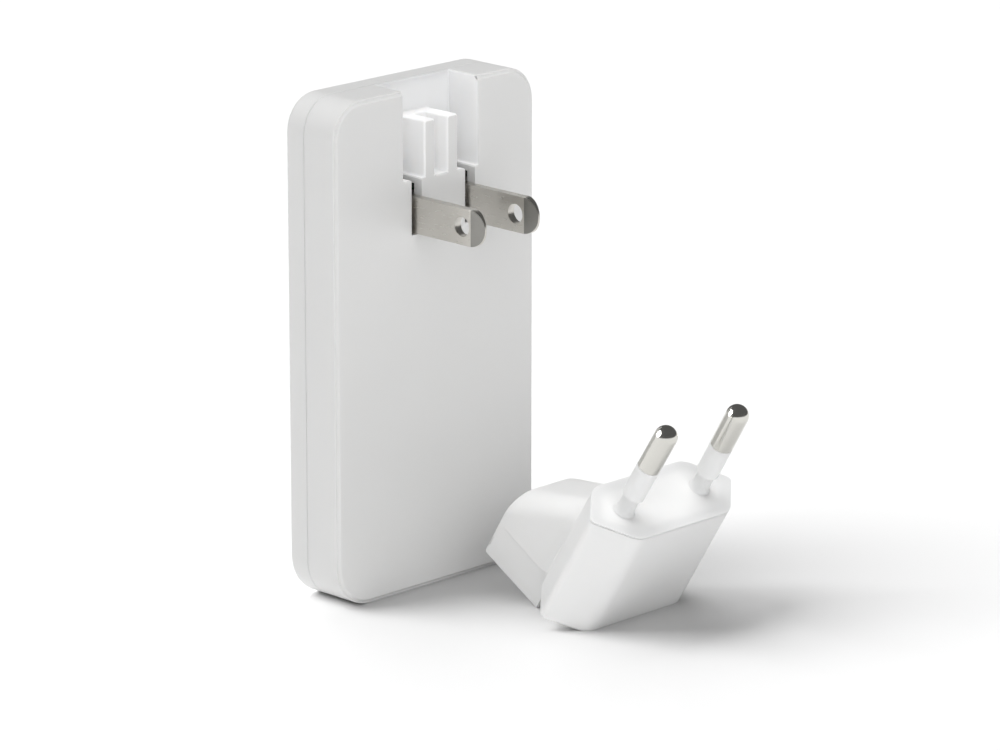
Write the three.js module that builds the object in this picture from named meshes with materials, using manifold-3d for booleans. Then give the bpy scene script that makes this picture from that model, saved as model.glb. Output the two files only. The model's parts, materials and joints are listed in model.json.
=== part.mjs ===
// Slim travel charger with fold-out two-blade plug, and the loose Europlug head that
// pushes onto the blades. Millimetres. +Z is up, +X runs along the width, the blades
// point to -Y. The origin is the middle of the face that the charger stands on.
import * as THREE from 'three';
import { mergeVertices } from 'three/addons/utils/BufferGeometryUtils.js';
import Module from 'manifold-3d';

const wasm = await Module();
wasm.setup();

// ---------------------------------------------------------------- driving dimensions
const GAP = 0.3; // clearance kept between touching pieces
const SEGMENTS = 8; // steps in a quarter turn

// charger body
const WIDTH = 47.2;
const HEIGHT = 88.2;
const THICKNESS = 12.1;
const TOP_RADIUS = 6.3;
const BOTTOM_RADIUS = 7.8;
const WALL = 1.6;
const SEAM_DEPTH = 8.2; // from the blade face to the seam
const LIP_THICKNESS = 0.8;
const LIP_LENGTH = 1.3;
const EDGE_STEP = 0.4; // shelf and chamfer round the blade face
const FRONT_ROUND = 1.0;

// notch that takes the head's tongue
const NOTCH_CENTRE = 1.25; // the notch sits a little off the body's middle
const NOTCH_HALF = 8.9;
const NOTCH_DEPTH = 7.16;
const NOTCH_FLOOR = 72.57;
const NOTCH_WALL = 1.2;
const NOTCH_BACK_WALL = 0.85;
const KEY_HALF = 3.95;
const KEY_TOP = 82.4;
const KEY_GROOVE_WIDTH = 2.9;
const KEY_GROOVE_DEPTH = 5.2;

// folding blades
const BLADE_CENTRE = NOTCH_CENTRE + 0.65;
const BLADE_SPACING = 12.7;
const BLADE_THICKNESS = 1.5;
const BLADE_HEIGHT = 6.35;
const BLADE_REACH = 16.4; // from the blade face to the tip
const BLADE_HOLE_REACH = 11.4;
const BLADE_HOLE_RADIUS = 1.7;
const BLADE_BEVEL_LENGTH = 2.9;
const BLADE_BEVEL_DEPTH = 0.55;
const BLADE_SLOT_WIDTH = 2.4;
const BLADE_SLOT_SHIFT = -0.15;
const HINGE_HEIGHT = 66.43;
const HINGE_DEPTH = 3.6; // from the blade face to the hinge axis
const ROTOR_RADIUS = 1.7;
const ROTOR_HOLE_RADIUS = 2.0;
const JOURNAL_RADIUS = 1.2;
const BEARING_HOLE_RADIUS = 1.5;
const BEARING_DISTANCE = 10.2; // from the blades' middle to a bearing's inner face
const BEARING_WIDTH = 2.4;
const BEARING_HALF_HEIGHT = 3.0;
const LEAF_THICKNESS = 0.4;
const LEAF_FOOT = 0.6;
const CONTACT_HALF = 1.2; // half the width of a contact spring
const CONTACT_ABOVE = 3.0; // how far it reaches above the hinge axis
const CONTACT_BELOW = 9.0;
const DETENT_HALF = 3.0;
const DETENT_ABOVE = 2.5;
const DETENT_BELOW = 8.0;

// circuit board and what it carries
const BOARD_NEAR = 8.45; // depth of its component side below the blade face
const BOARD_THICKNESS = 1.0;
const BOARD_HALF_WIDTH = 19.6;
const BOARD_BOTTOM = 3.0;
const BOARD_TOP = 70.2;
const BOARD_LOW_RADIUS = 4.5;
const BOARD_HIGH_RADIUS = 1.0;
const PART_NEAR = 2.7; // depth of the tallest components
const PART_HEIGHT = BOARD_NEAR - PART_NEAR - GAP;

// USB-C socket in the bottom face
const USB_CENTRE = 9.0;
const USB_DEPTH = 5.7;
const USB_WIDTH = 8.94;
const USB_HEIGHT = 3.26;
const USB_WALL = 0.3;
const USB_LENGTH = 7.3;
const USB_RECESS = 0.2; // the shell's mouth stands back this far from the bottom face
const USB_TONGUE_HALF = 3.3;
const USB_TONGUE_THICKNESS = 0.7;
const USB_TONGUE_MOUTH = 1.2;
const USB_BASE_HALF = 3.7;
const USB_BASE_THICKNESS = 1.8;
const USB_BASE_LENGTH = 1.4;

// Europlug head, in its own axes: x along the pin spacing, z out along the pins
const HEAD_HALF_LONG = 17.5; // to the sharp tip, before its corner is rounded
const HEAD_TIP_INSET = 6.3;
const HEAD_HALF_DEEP = 6.5;
const HEAD_LENGTH = 22.9;
const HEAD_WALL = 1.5;
const HEAD_FOOT_ROUND = 2.5;
const HEAD_BLUNT_RADIUS = 4.0;
const HEAD_TIP_RADIUS = 2.9;
const TONGUE_HALF = 8.75;
const TONGUE_REACH = 21.1;
const TONGUE_TIP = 29.7;
const HOOD_FAR_TOP = 16.0; // how far below the pin face the hood's roof is at its far end
const HOOD_NEAR_TOP = 5.5; // and where the roof meets the block
const HOOD_ROUND = 5.0;
const TONGUE_EDGE = 0.5;
const POCKET_HALF = 4.3;
const POCKET_REACH = 16.4;
const PLATE_RIM = 0.5;
const PLATE_STEP = 1.4;
const PIN_SPACING_BASE = 18.6;
const PIN_SPACING_TIP = 17.5;
const PIN_LENGTH = 19.0;
const PIN_RADIUS = 2.0;
const PIN_CORE_RADIUS = 1.35;
const PIN_METAL_LENGTH = 9.0;
const PIN_ROOT = 2.9;
const SLEEVE_ROOT = 1.2;
const SLEEVE_NECK_RADIUS = 1.75;
const SLEEVE_RIM = 3.0;
const SLEEVE_RIM_SLOPE = 0.2;
const CONTACT_LEAF = 0.5;
const CONTACT_HALF_WIDTH = 2.6;

// where the loose head lies, leaning on its foot edge and on its tongue
const HEAD_X = 10.85;
const HEAD_Y = -48.87;
const HEAD_YAW = THREE.MathUtils.degToRad(0.57);

// ---------------------------------------------------------------- solid helpers
function toSolid(geometry) {
  const plain = geometry.index ? geometry.toNonIndexed() : geometry.clone();
  plain.deleteAttribute('normal');
  plain.deleteAttribute('uv');
  const merged = mergeVertices(plain, 1e-5);
  return new wasm.Manifold(new wasm.Mesh({
    numProp: 3,
    vertProperties: new Float32Array(merged.attributes.position.array),
    triVerts: new Uint32Array(merged.index.array),
  }));
}

function toGeometry(solid) {
  const mesh = solid.getMesh();
  const geometry = new THREE.BufferGeometry();
  geometry.setAttribute('position', new THREE.BufferAttribute(mesh.vertProperties, 3));
  geometry.setIndex(new THREE.BufferAttribute(mesh.triVerts, 1));
  return geometry;
}

const cut = (solid, ...tools) => tools.reduce((left, tool) => left.subtract(tool), solid);
const join = (solid, ...others) => others.reduce((sum, other) => sum.add(other), solid);

// a box between two corners
function box(x0, x1, y0, y1, z0, z1) {
  const geometry = new THREE.BoxGeometry(x1 - x0, y1 - y0, z1 - z0);
  geometry.translate((x0 + x1) / 2, (y0 + y1) / 2, (z0 + z1) / 2);
  return toSolid(geometry);
}

// a rod along x, y or z, starting at a point
function rod(axis, radius, length, x, y, z, sides = 4 * SEGMENTS) {
  const geometry = new THREE.CylinderGeometry(radius, radius, length, sides);
  if (axis === 'x') geometry.rotateZ(-Math.PI / 2);
  if (axis === 'z') geometry.rotateX(Math.PI / 2);
  const half = length / 2;
  geometry.translate(
    x + (axis === 'x' ? half : 0),
    y + (axis === 'y' ? half : 0),
    z + (axis === 'z' ? half : 0),
  );
  return toSolid(geometry);
}

// a closed outline from corners with their own radii, listed anticlockwise
function roundedOutline(corners) {
  const outline = new THREE.Shape();
  corners.forEach(([x, y, radius], index) => {
    const before = corners[(index + corners.length - 1) % corners.length];
    const after = corners[(index + 1) % corners.length];
    const here = new THREE.Vector2(x, y);
    const toBefore = new THREE.Vector2(before[0] - x, before[1] - y).normalize();
    const toAfter = new THREE.Vector2(after[0] - x, after[1] - y).normalize();
    const halfAngle = Math.acos(toBefore.dot(toAfter)) / 2;
    const reach = radius / Math.tan(halfAngle);
    const start = here.clone().addScaledVector(toBefore, reach);
    const middle = toBefore.clone().add(toAfter).normalize();
    const centre = here.clone().addScaledVector(middle, radius / Math.sin(halfAngle));
    if (index === 0) outline.moveTo(start.x, start.y);
    else outline.lineTo(start.x, start.y);
    const from = Math.atan2(start.y - centre.y, start.x - centre.x);
    const turn = Math.PI - 2 * halfAngle;
    for (let step = 1; step <= SEGMENTS; step += 1) {
      const angle = from + (turn * step) / SEGMENTS;
      outline.lineTo(centre.x + radius * Math.cos(angle), centre.y + radius * Math.sin(angle));
    }
  });
  return outline;
}

// the charger's outline in x and z, drawn in by an inset
function bodyOutline(inset) {
  const half = WIDTH / 2 - inset;
  const low = BOTTOM_RADIUS - inset;
  const high = TOP_RADIUS - inset;
  return roundedOutline([
    [-half, inset, low],
    [half, inset, low],
    [half, HEIGHT - inset, high],
    [-half, HEIGHT - inset, high],
  ]);
}

// an x-z outline made into a slab between two y values; a bevel rounds both faces
function slab(outline, y0, y1, bevel = 0, bevelSegments = 1) {
  const geometry = new THREE.ExtrudeGeometry(outline, {
    depth: y1 - y0 - 2 * bevel,
    bevelEnabled: bevel > 0,
    bevelThickness: bevel,
    bevelSize: bevel,
    bevelOffset: -bevel,
    bevelSegments,
  });
  geometry.rotateX(Math.PI / 2);
  geometry.translate(0, y1 - bevel, 0);
  return toSolid(geometry);
}

// an x-y outline made into a prism between two z values
function prism(outline, z0, z1, bevel = 0, bevelSegments = 1) {
  const geometry = new THREE.ExtrudeGeometry(outline, {
    depth: z1 - z0 - 2 * bevel,
    bevelEnabled: bevel > 0,
    bevelThickness: bevel,
    bevelSize: bevel,
    bevelOffset: -bevel,
    bevelSegments,
  });
  geometry.translate(0, 0, z0 + bevel);
  return toSolid(geometry);
}

// a turned solid about z from [radius, z] points that start and end on the axis
function turned(points, sides = 3 * SEGMENTS) {
  const profile = points.map(([radius, z]) => new THREE.Vector2(radius, z));
  const geometry = new THREE.LatheGeometry(profile, sides);
  geometry.rotateX(Math.PI / 2);
  return toSolid(geometry);
}

// a flat ring with its axis along y
function ring(outer, inner, y0, y1, x, z) {
  const body = rod('y', outer, y1 - y0, x, y0, z);
  return cut(body, rod('y', inner, y1 - y0 + 2, x, y0 - 1, z));
}

// ---------------------------------------------------------------- materials and meshes
const finishes = {
  whitePlastic: [0xf2f2f0, 0.35, 0],
  innerPlastic: [0xe6e4de, 0.5, 0],
  nickel: [0xb3aea3, 0.3, 1],
  brass: [0xc4a468, 0.35, 1],
  springBronze: [0xb9885a, 0.4, 1],
  steel: [0xa9adb0, 0.35, 1],
  board: [0x1f5b3a, 0.6, 0],
  ferrite: [0x2b2b2e, 0.7, 0],
  tape: [0xd8b21e, 0.5, 0],
  capSleeve: [0x20262e, 0.4, 0],
  component: [0x1b1b1d, 0.5, 0],
  ceramic: [0xe9e5da, 0.5, 0],
  spreader: [0xc9ccd0, 0.4, 1],
  insulator: [0xe9dfc4, 0.6, 0],
};

function piece(parent, name, solid, finish) {
  const [color, roughness, metalness] = finishes[finish];
  const material = new THREE.MeshStandardMaterial({ color, roughness, metalness });
  const mesh = new THREE.Mesh(toGeometry(solid), material);
  mesh.name = name;
  parent.add(mesh);
  return mesh;
}

// depth below the blade face, given as a y value
const BLADE_FACE = -THICKNESS / 2;
const atDepth = (depth) => BLADE_FACE + depth;

// ---------------------------------------------------------------- charger shells
function bladeSlots() {
  return [-1, 1].map((side) => {
    const middle = BLADE_CENTRE + (side * BLADE_SPACING) / 2 + BLADE_SLOT_SHIFT;
    const low = HINGE_HEIGHT - BLADE_HEIGHT / 2 - GAP;
    const half = BLADE_SLOT_WIDTH / 2;
    return box(middle - half, middle + half, atDepth(-1), atDepth(NOTCH_DEPTH), low, NOTCH_FLOOR + 1);
  });
}

function usbOpening(clearance) {
  const half = USB_WIDTH / 2 + clearance;
  const round = USB_HEIGHT / 2 + clearance;
  const y = atDepth(USB_DEPTH);
  const outline = roundedOutline([
    [USB_CENTRE - half, y - round, round - 0.01],
    [USB_CENTRE + half, y - round, round - 0.01],
    [USB_CENTRE + half, y + round, round - 0.01],
    [USB_CENTRE - half, y + round, round - 0.01],
  ]);
  return outline;
}

function rearShell() {
  const rim = atDepth(SEAM_DEPTH - GAP / 2);
  const outer = slab(bodyOutline(0), atDepth(EDGE_STEP), rim);
  const plateau = slab(bodyOutline(EDGE_STEP), atDepth(0), atDepth(4 * EDGE_STEP), EDGE_STEP);
  const hollow = slab(bodyOutline(WALL), atDepth(WALL), rim + 1);
  const left = NOTCH_CENTRE - NOTCH_HALF;
  const right = NOTCH_CENTRE + NOTCH_HALF;
  const notch = box(left, right, atDepth(-1), atDepth(NOTCH_DEPTH), NOTCH_FLOOR, HEIGHT + 1);
  const notchBox = box(
    left - NOTCH_WALL, right + NOTCH_WALL,
    atDepth(EDGE_STEP), atDepth(NOTCH_DEPTH + NOTCH_BACK_WALL),
    NOTCH_FLOOR - NOTCH_WALL, HEIGHT - WALL / 2,
  );
  const key = box(
    NOTCH_CENTRE - KEY_HALF, NOTCH_CENTRE + KEY_HALF,
    atDepth(0), atDepth(NOTCH_DEPTH + NOTCH_BACK_WALL / 2),
    NOTCH_FLOOR - NOTCH_WALL / 2, KEY_TOP,
  );
  const groove = box(
    NOTCH_CENTRE - KEY_GROOVE_WIDTH / 2, NOTCH_CENTRE + KEY_GROOVE_WIDTH / 2,
    atDepth(-1), atDepth(KEY_GROOVE_DEPTH), NOTCH_FLOOR, KEY_TOP + 1,
  );
  const walls = join(cut(join(outer, plateau), hollow), notchBox);
  const keyed = join(cut(walls, notch), key);
  const usb = prism(usbOpening(GAP), -1, USB_LENGTH);
  return cut(keyed, groove, ...bladeSlots(), usb);
}

function frontShell() {
  const rim = atDepth(SEAM_DEPTH + GAP / 2);
  const backFace = atDepth(THICKNESS);
  const rounded = slab(bodyOutline(0), rim - 2 * FRONT_ROUND, backFace, FRONT_ROUND, 3);
  const aboveSeam = box(-WIDTH, WIDTH, rim, backFace + 1, -1, HEIGHT + 1);
  const shell = rounded.intersect(aboveSeam);
  const hollow = slab(bodyOutline(WALL), rim - 1, atDepth(THICKNESS - WALL));
  const lipOuter = slab(bodyOutline(WALL + GAP), rim - LIP_LENGTH, rim + WALL);
  const lipInner = slab(bodyOutline(WALL + GAP + LIP_THICKNESS), rim - LIP_LENGTH - 1, rim + WALL + 1);
  const ledge = slab(bodyOutline(WALL / 2), rim, rim + 1);
  const lip = cut(join(lipOuter, ledge), lipInner);
  const notchRoom = box(
    NOTCH_CENTRE - NOTCH_HALF - NOTCH_WALL - GAP, NOTCH_CENTRE + NOTCH_HALF + NOTCH_WALL + GAP,
    rim - LIP_LENGTH - 2, rim, NOTCH_FLOOR - NOTCH_WALL - GAP, HEIGHT + 1,
  );
  const usbRoom = box(
    USB_CENTRE - USB_WIDTH / 2 - 2 * GAP, USB_CENTRE + USB_WIDTH / 2 + 2 * GAP,
    rim - LIP_LENGTH - 2, rim, 0, USB_LENGTH,
  );
  return cut(join(cut(shell, hollow), lip), notchRoom, usbRoom);
}

// ---------------------------------------------------------------- folding plug
function bladeOutline() {
  // drawn in (y, z) about the hinge axis: root end round it, tip arc beyond the face
  const half = BLADE_HEIGHT / 2;
  const tip = -(HINGE_DEPTH + BLADE_REACH);
  const outline = new THREE.Shape();
  outline.moveTo(tip + half, -half);
  outline.lineTo(0, -half);
  outline.absarc(0, 0, half, -Math.PI / 2, Math.PI / 2, false);
  outline.lineTo(tip + half, half);
  outline.absarc(tip + half, 0, half, Math.PI / 2, 1.5 * Math.PI, false);
  return outline;
}

function blade(side) {
  const geometry = new THREE.ExtrudeGeometry(bladeOutline(), {
    depth: BLADE_THICKNESS, bevelEnabled: false, curveSegments: SEGMENTS,
  });
  // local x becomes world y, local y becomes world z, and the thickness runs along x
  geometry.applyMatrix4(new THREE.Matrix4().makeBasis(
    new THREE.Vector3(0, 1, 0), new THREE.Vector3(0, 0, 1), new THREE.Vector3(1, 0, 0),
  ));
  const middle = BLADE_CENTRE + (side * BLADE_SPACING) / 2;
  geometry.translate(middle - BLADE_THICKNESS / 2, atDepth(HINGE_DEPTH), HINGE_HEIGHT);
  const holeStart = middle - BLADE_THICKNESS;
  const hole = rod('x', BLADE_HOLE_RADIUS, 2 * BLADE_THICKNESS,
    holeStart, atDepth(-BLADE_HOLE_REACH), HINGE_HEIGHT, 3 * SEGMENTS);
  const eye = rod('x', ROTOR_HOLE_RADIUS, 2 * BLADE_THICKNESS,
    holeStart, atDepth(HINGE_DEPTH), HINGE_HEIGHT, 3 * SEGMENTS);
  const bevels = [-1, 1].map((face) => bladeTipBevel(middle, face));
  return cut(toSolid(geometry), hole, eye, ...bevels);
}

// the wedge that thins one face of a blade towards its tip
function bladeTipBevel(middle, face) {
  const start = atDepth(-BLADE_REACH + BLADE_BEVEL_LENGTH);
  const end = atDepth(-BLADE_REACH - 1);
  const slope = BLADE_BEVEL_DEPTH / BLADE_BEVEL_LENGTH;
  const surface = middle + (face * BLADE_THICKNESS) / 2;
  const outline = new THREE.Shape();
  outline.moveTo(surface, start);
  outline.lineTo(surface + face, start);
  outline.lineTo(surface + face, end);
  outline.lineTo(surface - face * slope * (start - end), end);
  return prism(outline, HINGE_HEIGHT - BLADE_HEIGHT, HINGE_HEIGHT + BLADE_HEIGHT);
}

function bladeRotor() {
  const y = atDepth(HINGE_DEPTH);
  const journalLength = BEARING_WIDTH + GAP;
  const drumHalf = BEARING_DISTANCE - GAP;
  const drum = rod('x', ROTOR_RADIUS, 2 * drumHalf, BLADE_CENTRE - drumHalf, y, HINGE_HEIGHT, 3 * SEGMENTS);
  const shaft = rod('x', JOURNAL_RADIUS, 2 * (drumHalf + journalLength),
    BLADE_CENTRE - drumHalf - journalLength, y, HINGE_HEIGHT, 2 * SEGMENTS);
  return join(drum, shaft);
}

function bearing(side) {
  const near = BLADE_CENTRE + side * BEARING_DISTANCE;
  const far = near + side * BEARING_WIDTH;
  const block = box(Math.min(near, far), Math.max(near, far),
    atDepth(WALL + GAP), atDepth(BOARD_NEAR - 2 * GAP),
    HINGE_HEIGHT - BEARING_HALF_HEIGHT, HINGE_HEIGHT + BEARING_HALF_HEIGHT);
  const hole = rod('x', BEARING_HOLE_RADIUS, 2 * BEARING_WIDTH,
    Math.min(near, far) - BEARING_WIDTH / 2, atDepth(HINGE_DEPTH), HINGE_HEIGHT, 2 * SEGMENTS);
  return cut(block, hole);
}

// a springy strip behind a blade's root that carries the mains to the board
function contactSpring(side) {
  const middle = BLADE_CENTRE + (side * BLADE_SPACING) / 2;
  const leaf = atDepth(HINGE_DEPTH + BLADE_HEIGHT / 2 + GAP);
  const board = atDepth(BOARD_NEAR - GAP);
  const low = HINGE_HEIGHT - CONTACT_BELOW;
  const left = middle - CONTACT_HALF;
  const right = middle + CONTACT_HALF;
  const strip = box(left, right, leaf, leaf + LEAF_THICKNESS, low, HINGE_HEIGHT + CONTACT_ABOVE);
  const foot = box(left, right, leaf, board, low, low + LEAF_FOOT);
  return join(strip, foot);
}

// a leaf that snaps the rotor into its two end positions
function detentSpring() {
  const leaf = atDepth(HINGE_DEPTH + ROTOR_RADIUS + GAP);
  const board = atDepth(BOARD_NEAR - GAP);
  const low = HINGE_HEIGHT - DETENT_BELOW;
  const left = BLADE_CENTRE - DETENT_HALF;
  const right = BLADE_CENTRE + DETENT_HALF;
  const strip = box(left, right, leaf, leaf + LEAF_THICKNESS, low, HINGE_HEIGHT + DETENT_ABOVE);
  const foot = box(left, right, leaf, board, low, low + LEAF_FOOT);
  return join(strip, foot);
}

// ---------------------------------------------------------------- electronics
function mainBoard() {
  const outline = roundedOutline([
    [-BOARD_HALF_WIDTH, BOARD_BOTTOM, BOARD_LOW_RADIUS],
    [BOARD_HALF_WIDTH, BOARD_BOTTOM, BOARD_LOW_RADIUS],
    [BOARD_HALF_WIDTH, BOARD_TOP, BOARD_HIGH_RADIUS],
    [-BOARD_HALF_WIDTH, BOARD_TOP, BOARD_HIGH_RADIUS],
  ]);
  return slab(outline, atDepth(BOARD_NEAR), atDepth(BOARD_NEAR + BOARD_THICKNESS));
}

// a block standing on the board: middle x and z, sizes in x and z, height off the board
function onBoard(x, z, sizeX, sizeZ, height = PART_HEIGHT) {
  const foot = atDepth(BOARD_NEAR - GAP);
  return box(x - sizeX / 2, x + sizeX / 2, foot - height, foot, z - sizeZ / 2, z + sizeZ / 2);
}

// a round can lying along z on the board
const CAN_GROOVE = { depth: 0.35, width: 0.8, start: 1.5 };

function lyingCan(x, z0, diameter, length) {
  const radius = diameter / 2;
  const y = atDepth(BOARD_NEAR - GAP) - radius;
  const { depth, width, start } = CAN_GROOVE;
  const can = rod('z', radius, length, x, y, z0);
  const collar = rod('z', diameter, width, x, y, z0 + start);
  const waist = rod('z', radius - depth, width, x, y, z0 + start);
  return cut(can, cut(collar, waist));
}

const TRANSFORMER = {
  x: -7, z: 30, width: 20, length: 17, leg: 1.4, post: 3.2, coil: 8.2, window: 3.0,
};

function transformerCore() {
  const { x, z, width, length, leg, post, window } = TRANSFORMER;
  const middle = atDepth(BOARD_NEAR - GAP - PART_HEIGHT / 2);
  const half = window / 2;
  const core = onBoard(x, z, width, length);
  const windowBox = box(x - width / 2 + leg, x + width / 2 - leg,
    middle - half, middle + half, z - length, z + length);
  return join(cut(core, windowBox), rod('y', post, window, x, middle - half, z));
}

function transformerWinding() {
  const { x, z, post, coil, window } = TRANSFORMER;
  const middle = atDepth(BOARD_NEAR - GAP - PART_HEIGHT / 2);
  const half = window / 2 - GAP;
  return ring(coil, post + GAP, middle - half, middle + half, x, z);
}

const CHOKE = { x: -13.5, z: 56, radius: 5.2, hole: 2.2, half: 1.4, wire: 0.7, wound: 2.4 };

function chokeCore() {
  const middle = atDepth(BOARD_NEAR - GAP - PART_HEIGHT / 2);
  const { x, z, radius, hole, half } = CHOKE;
  return ring(radius, hole, middle - half, middle + half, x, z);
}

// the wire wound round the lower part of the choke's ring
function chokeWinding() {
  const middle = atDepth(BOARD_NEAR - GAP - PART_HEIGHT / 2);
  const { x, z, radius, hole, half, wire, wound } = CHOKE;
  const wrapped = (grow) => ring(
    radius + grow, hole - grow, middle - half - grow, middle + half + grow, x, z,
  );
  const reach = 2 * radius;
  const sector = box(x - reach, x + reach, middle - reach, middle + reach, z - reach, z + wound);
  return cut(wrapped(GAP + wire), wrapped(GAP)).intersect(sector);
}

const FUSE = { x: 17.5, z: 58, length: 9, radius: 1.3, capRadius: 1.6, capLength: 2 };

function fuse() {
  const { x, z, length, radius, capRadius, capLength } = FUSE;
  const y = atDepth(BOARD_NEAR - GAP) - capRadius;
  const tube = rod('z', radius, length, x, y, z);
  const lowCap = rod('z', capRadius, capLength, x, y, z);
  const highCap = rod('z', capRadius, capLength, x, y, z + length - capLength);
  return join(tube, lowCap, highCap);
}

// a thin metal plate between the components and the blade face, and the film behind the board
const SPREADER = { half: 18.5, low: 10, high: 56, thickness: 0.4 };
const SHEET = { half: 19, low: 9, high: 70, thickness: 0.25 };

function heatSpreader() {
  const near = atDepth(WALL + GAP);
  const { half, low, high, thickness } = SPREADER;
  return box(-half, half, near, near + thickness, low, high);
}

function insulatingSheet() {
  const near = atDepth(BOARD_NEAR + BOARD_THICKNESS + GAP);
  const { half, low, high, thickness } = SHEET;
  return box(-half, half, near, near + thickness, low, high);
}

const BULK_CAN = { z: 36, diameter: 5.2, length: 20 };
const bulkCapacitors = [6.7, 12.2, 17.7];
const OUTPUT_CAN = { z: 8, diameter: 5.2, length: 10 };
const outputCapacitors = [-15, -9.2];
const boardBlocks = [
  { name: 'x_capacitor', x: -2, z: 46, sizeX: 11, sizeZ: 8, height: PART_HEIGHT, finish: 'ceramic' },
  { name: 'bridge_rectifier', x: 0, z: 55, sizeX: 6, sizeZ: 5, height: 2.6, finish: 'component' },
  { name: 'power_switch', x: 12.5, z: 27, sizeX: 8, sizeZ: 7, height: 1.2, finish: 'component' },
  { name: 'output_rectifier', x: -0.5, z: 15, sizeX: 5, sizeZ: 6, height: 1.2, finish: 'component' },
  { name: 'port_controller', x: 15, z: 18, sizeX: 4, sizeZ: 4, height: 1, finish: 'component' },
];

function usbShell() {
  const tube = prism(usbOpening(0), USB_RECESS, USB_LENGTH);
  const bore = prism(usbOpening(-USB_WALL), -1, USB_LENGTH - USB_WALL);
  return cut(tube, bore);
}

function usbTongue() {
  const y = atDepth(USB_DEPTH);
  const top = USB_LENGTH - USB_WALL - GAP;
  const thin = USB_TONGUE_THICKNESS / 2;
  const thick = USB_BASE_THICKNESS / 2;
  const wafer = box(USB_CENTRE - USB_TONGUE_HALF, USB_CENTRE + USB_TONGUE_HALF,
    y - thin, y + thin, USB_TONGUE_MOUTH, top);
  const base = box(USB_CENTRE - USB_BASE_HALF, USB_CENTRE + USB_BASE_HALF,
    y - thick, y + thick, top - USB_BASE_LENGTH, top);
  return join(wafer, base);
}

// ---------------------------------------------------------------- Europlug head
function headOutline(inset) {
  const slope = Math.hypot(HEAD_TIP_INSET, HEAD_HALF_DEEP);
  const deep = HEAD_HALF_DEEP - inset;
  const tip = HEAD_HALF_LONG - (inset * slope) / HEAD_HALF_DEEP;
  const flat = tip - (HEAD_TIP_INSET * deep) / HEAD_HALF_DEEP;
  const blunt = HEAD_BLUNT_RADIUS - inset;
  const sharp = HEAD_TIP_RADIUS - inset;
  return roundedOutline([
    [-flat, -deep, blunt],
    [flat, -deep, blunt],
    [tip, 0, sharp],
    [flat, deep, blunt],
    [-flat, deep, blunt],
    [-tip, 0, sharp],
  ]);
}

// the tongue and hood's outline in x and z where the roof is this far below the pin face
function hoodOutline(inset, roof) {
  const half = TONGUE_HALF - inset;
  return roundedOutline([
    [-half, -TONGUE_TIP + inset, TONGUE_EDGE],
    [half, -TONGUE_TIP + inset, TONGUE_EDGE],
    [half, -roof - inset, HOOD_ROUND - inset],
    [-half, -roof - inset, HOOD_ROUND - inset],
  ]);
}

// the tongue and hood between two y values, with the roof ramping up towards the block
function hoodSolid(inset, y0, y1) {
  const slope = (HOOD_FAR_TOP - HOOD_NEAR_TOP) / (TONGUE_REACH - HEAD_HALF_DEEP);
  const roofAt = (y) => HOOD_FAR_TOP - slope * (TONGUE_REACH - y);
  const near = slab(hoodOutline(inset, roofAt(y0)), y0, y0 + GAP);
  const far = slab(hoodOutline(inset, roofAt(y1)), y1 - GAP, y1);
  return wasm.Manifold.hull([near, far]);
}

// the hexagonal block with its bottom edges rounded, ending below the pin plate
function headBlock(top) {
  const long = prism(headOutline(0), -HEAD_LENGTH, HEAD_LENGTH, HEAD_FOOT_ROUND, 4);
  const across = 2 * HEAD_HALF_LONG;
  const keep = box(-across, across, -across, across, -HEAD_LENGTH - 1, top);
  return long.intersect(keep);
}

function headShell() {
  const top = -PLATE_RIM - GAP;
  const block = headBlock(top);
  const hood = hoodSolid(0, HEAD_HALF_DEEP - HEAD_WALL, TONGUE_REACH);
  const blockHollow = prism(headOutline(HEAD_WALL), -HEAD_LENGTH + HEAD_WALL, 1);
  const hoodHollow = hoodSolid(HEAD_WALL, HEAD_HALF_DEEP + HEAD_WALL, TONGUE_REACH - HEAD_WALL);
  const passageHalf = TONGUE_HALF - HOOD_ROUND;
  const passage = box(-passageHalf, passageHalf, 0, HEAD_HALF_DEEP + 2 * HEAD_WALL,
    -HEAD_LENGTH + HEAD_WALL, -HOOD_FAR_TOP - HEAD_WALL);
  const pocketTop = -HEAD_LENGTH + GAP;
  const pocketLining = box(-POCKET_HALF - HEAD_WALL, POCKET_HALF + HEAD_WALL,
    HEAD_HALF_DEEP - HEAD_WALL, POCKET_REACH + HEAD_WALL, -TONGUE_TIP, pocketTop + HEAD_WALL);
  const pocket = box(-POCKET_HALF, POCKET_HALF, 0, POCKET_REACH, -TONGUE_TIP - 1, pocketTop);
  const belowBlock = box(-HEAD_HALF_LONG, HEAD_HALF_LONG, -HEAD_HALF_DEEP, HEAD_HALF_DEEP,
    -TONGUE_TIP - 1, -HEAD_LENGTH);
  const rib = box(-KEY_GROOVE_WIDTH / 2 + GAP, KEY_GROOVE_WIDTH / 2 - GAP,
    HEAD_HALF_DEEP + 1, POCKET_REACH, -HEAD_LENGTH - KEY_GROOVE_DEPTH + 2 * GAP, pocketTop + HEAD_WALL / 2);
  const slots = [-1, 1].map((side) => {
    const middle = BLADE_CENTRE - NOTCH_CENTRE + (side * BLADE_SPACING) / 2;
    const half = BLADE_SLOT_WIDTH / 2;
    const tall = BLADE_HEIGHT / 2 + GAP;
    return box(middle - half, middle + half, -tall, tall, -HEAD_LENGTH - 1, -HEAD_LENGTH + 2 * HEAD_WALL);
  });
  const hollowed = cut(join(block, hood), blockHollow, hoodHollow, passage);
  const lined = join(hollowed, pocketLining.intersect(hood));
  return cut(join(cut(lined, pocket, belowBlock), rib), ...slots);
}

// pins converge slightly, so each one leans inwards by a small angle
const PIN_LEAN = Math.atan((PIN_SPACING_BASE - PIN_SPACING_TIP) / 2 / PIN_LENGTH);

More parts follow.
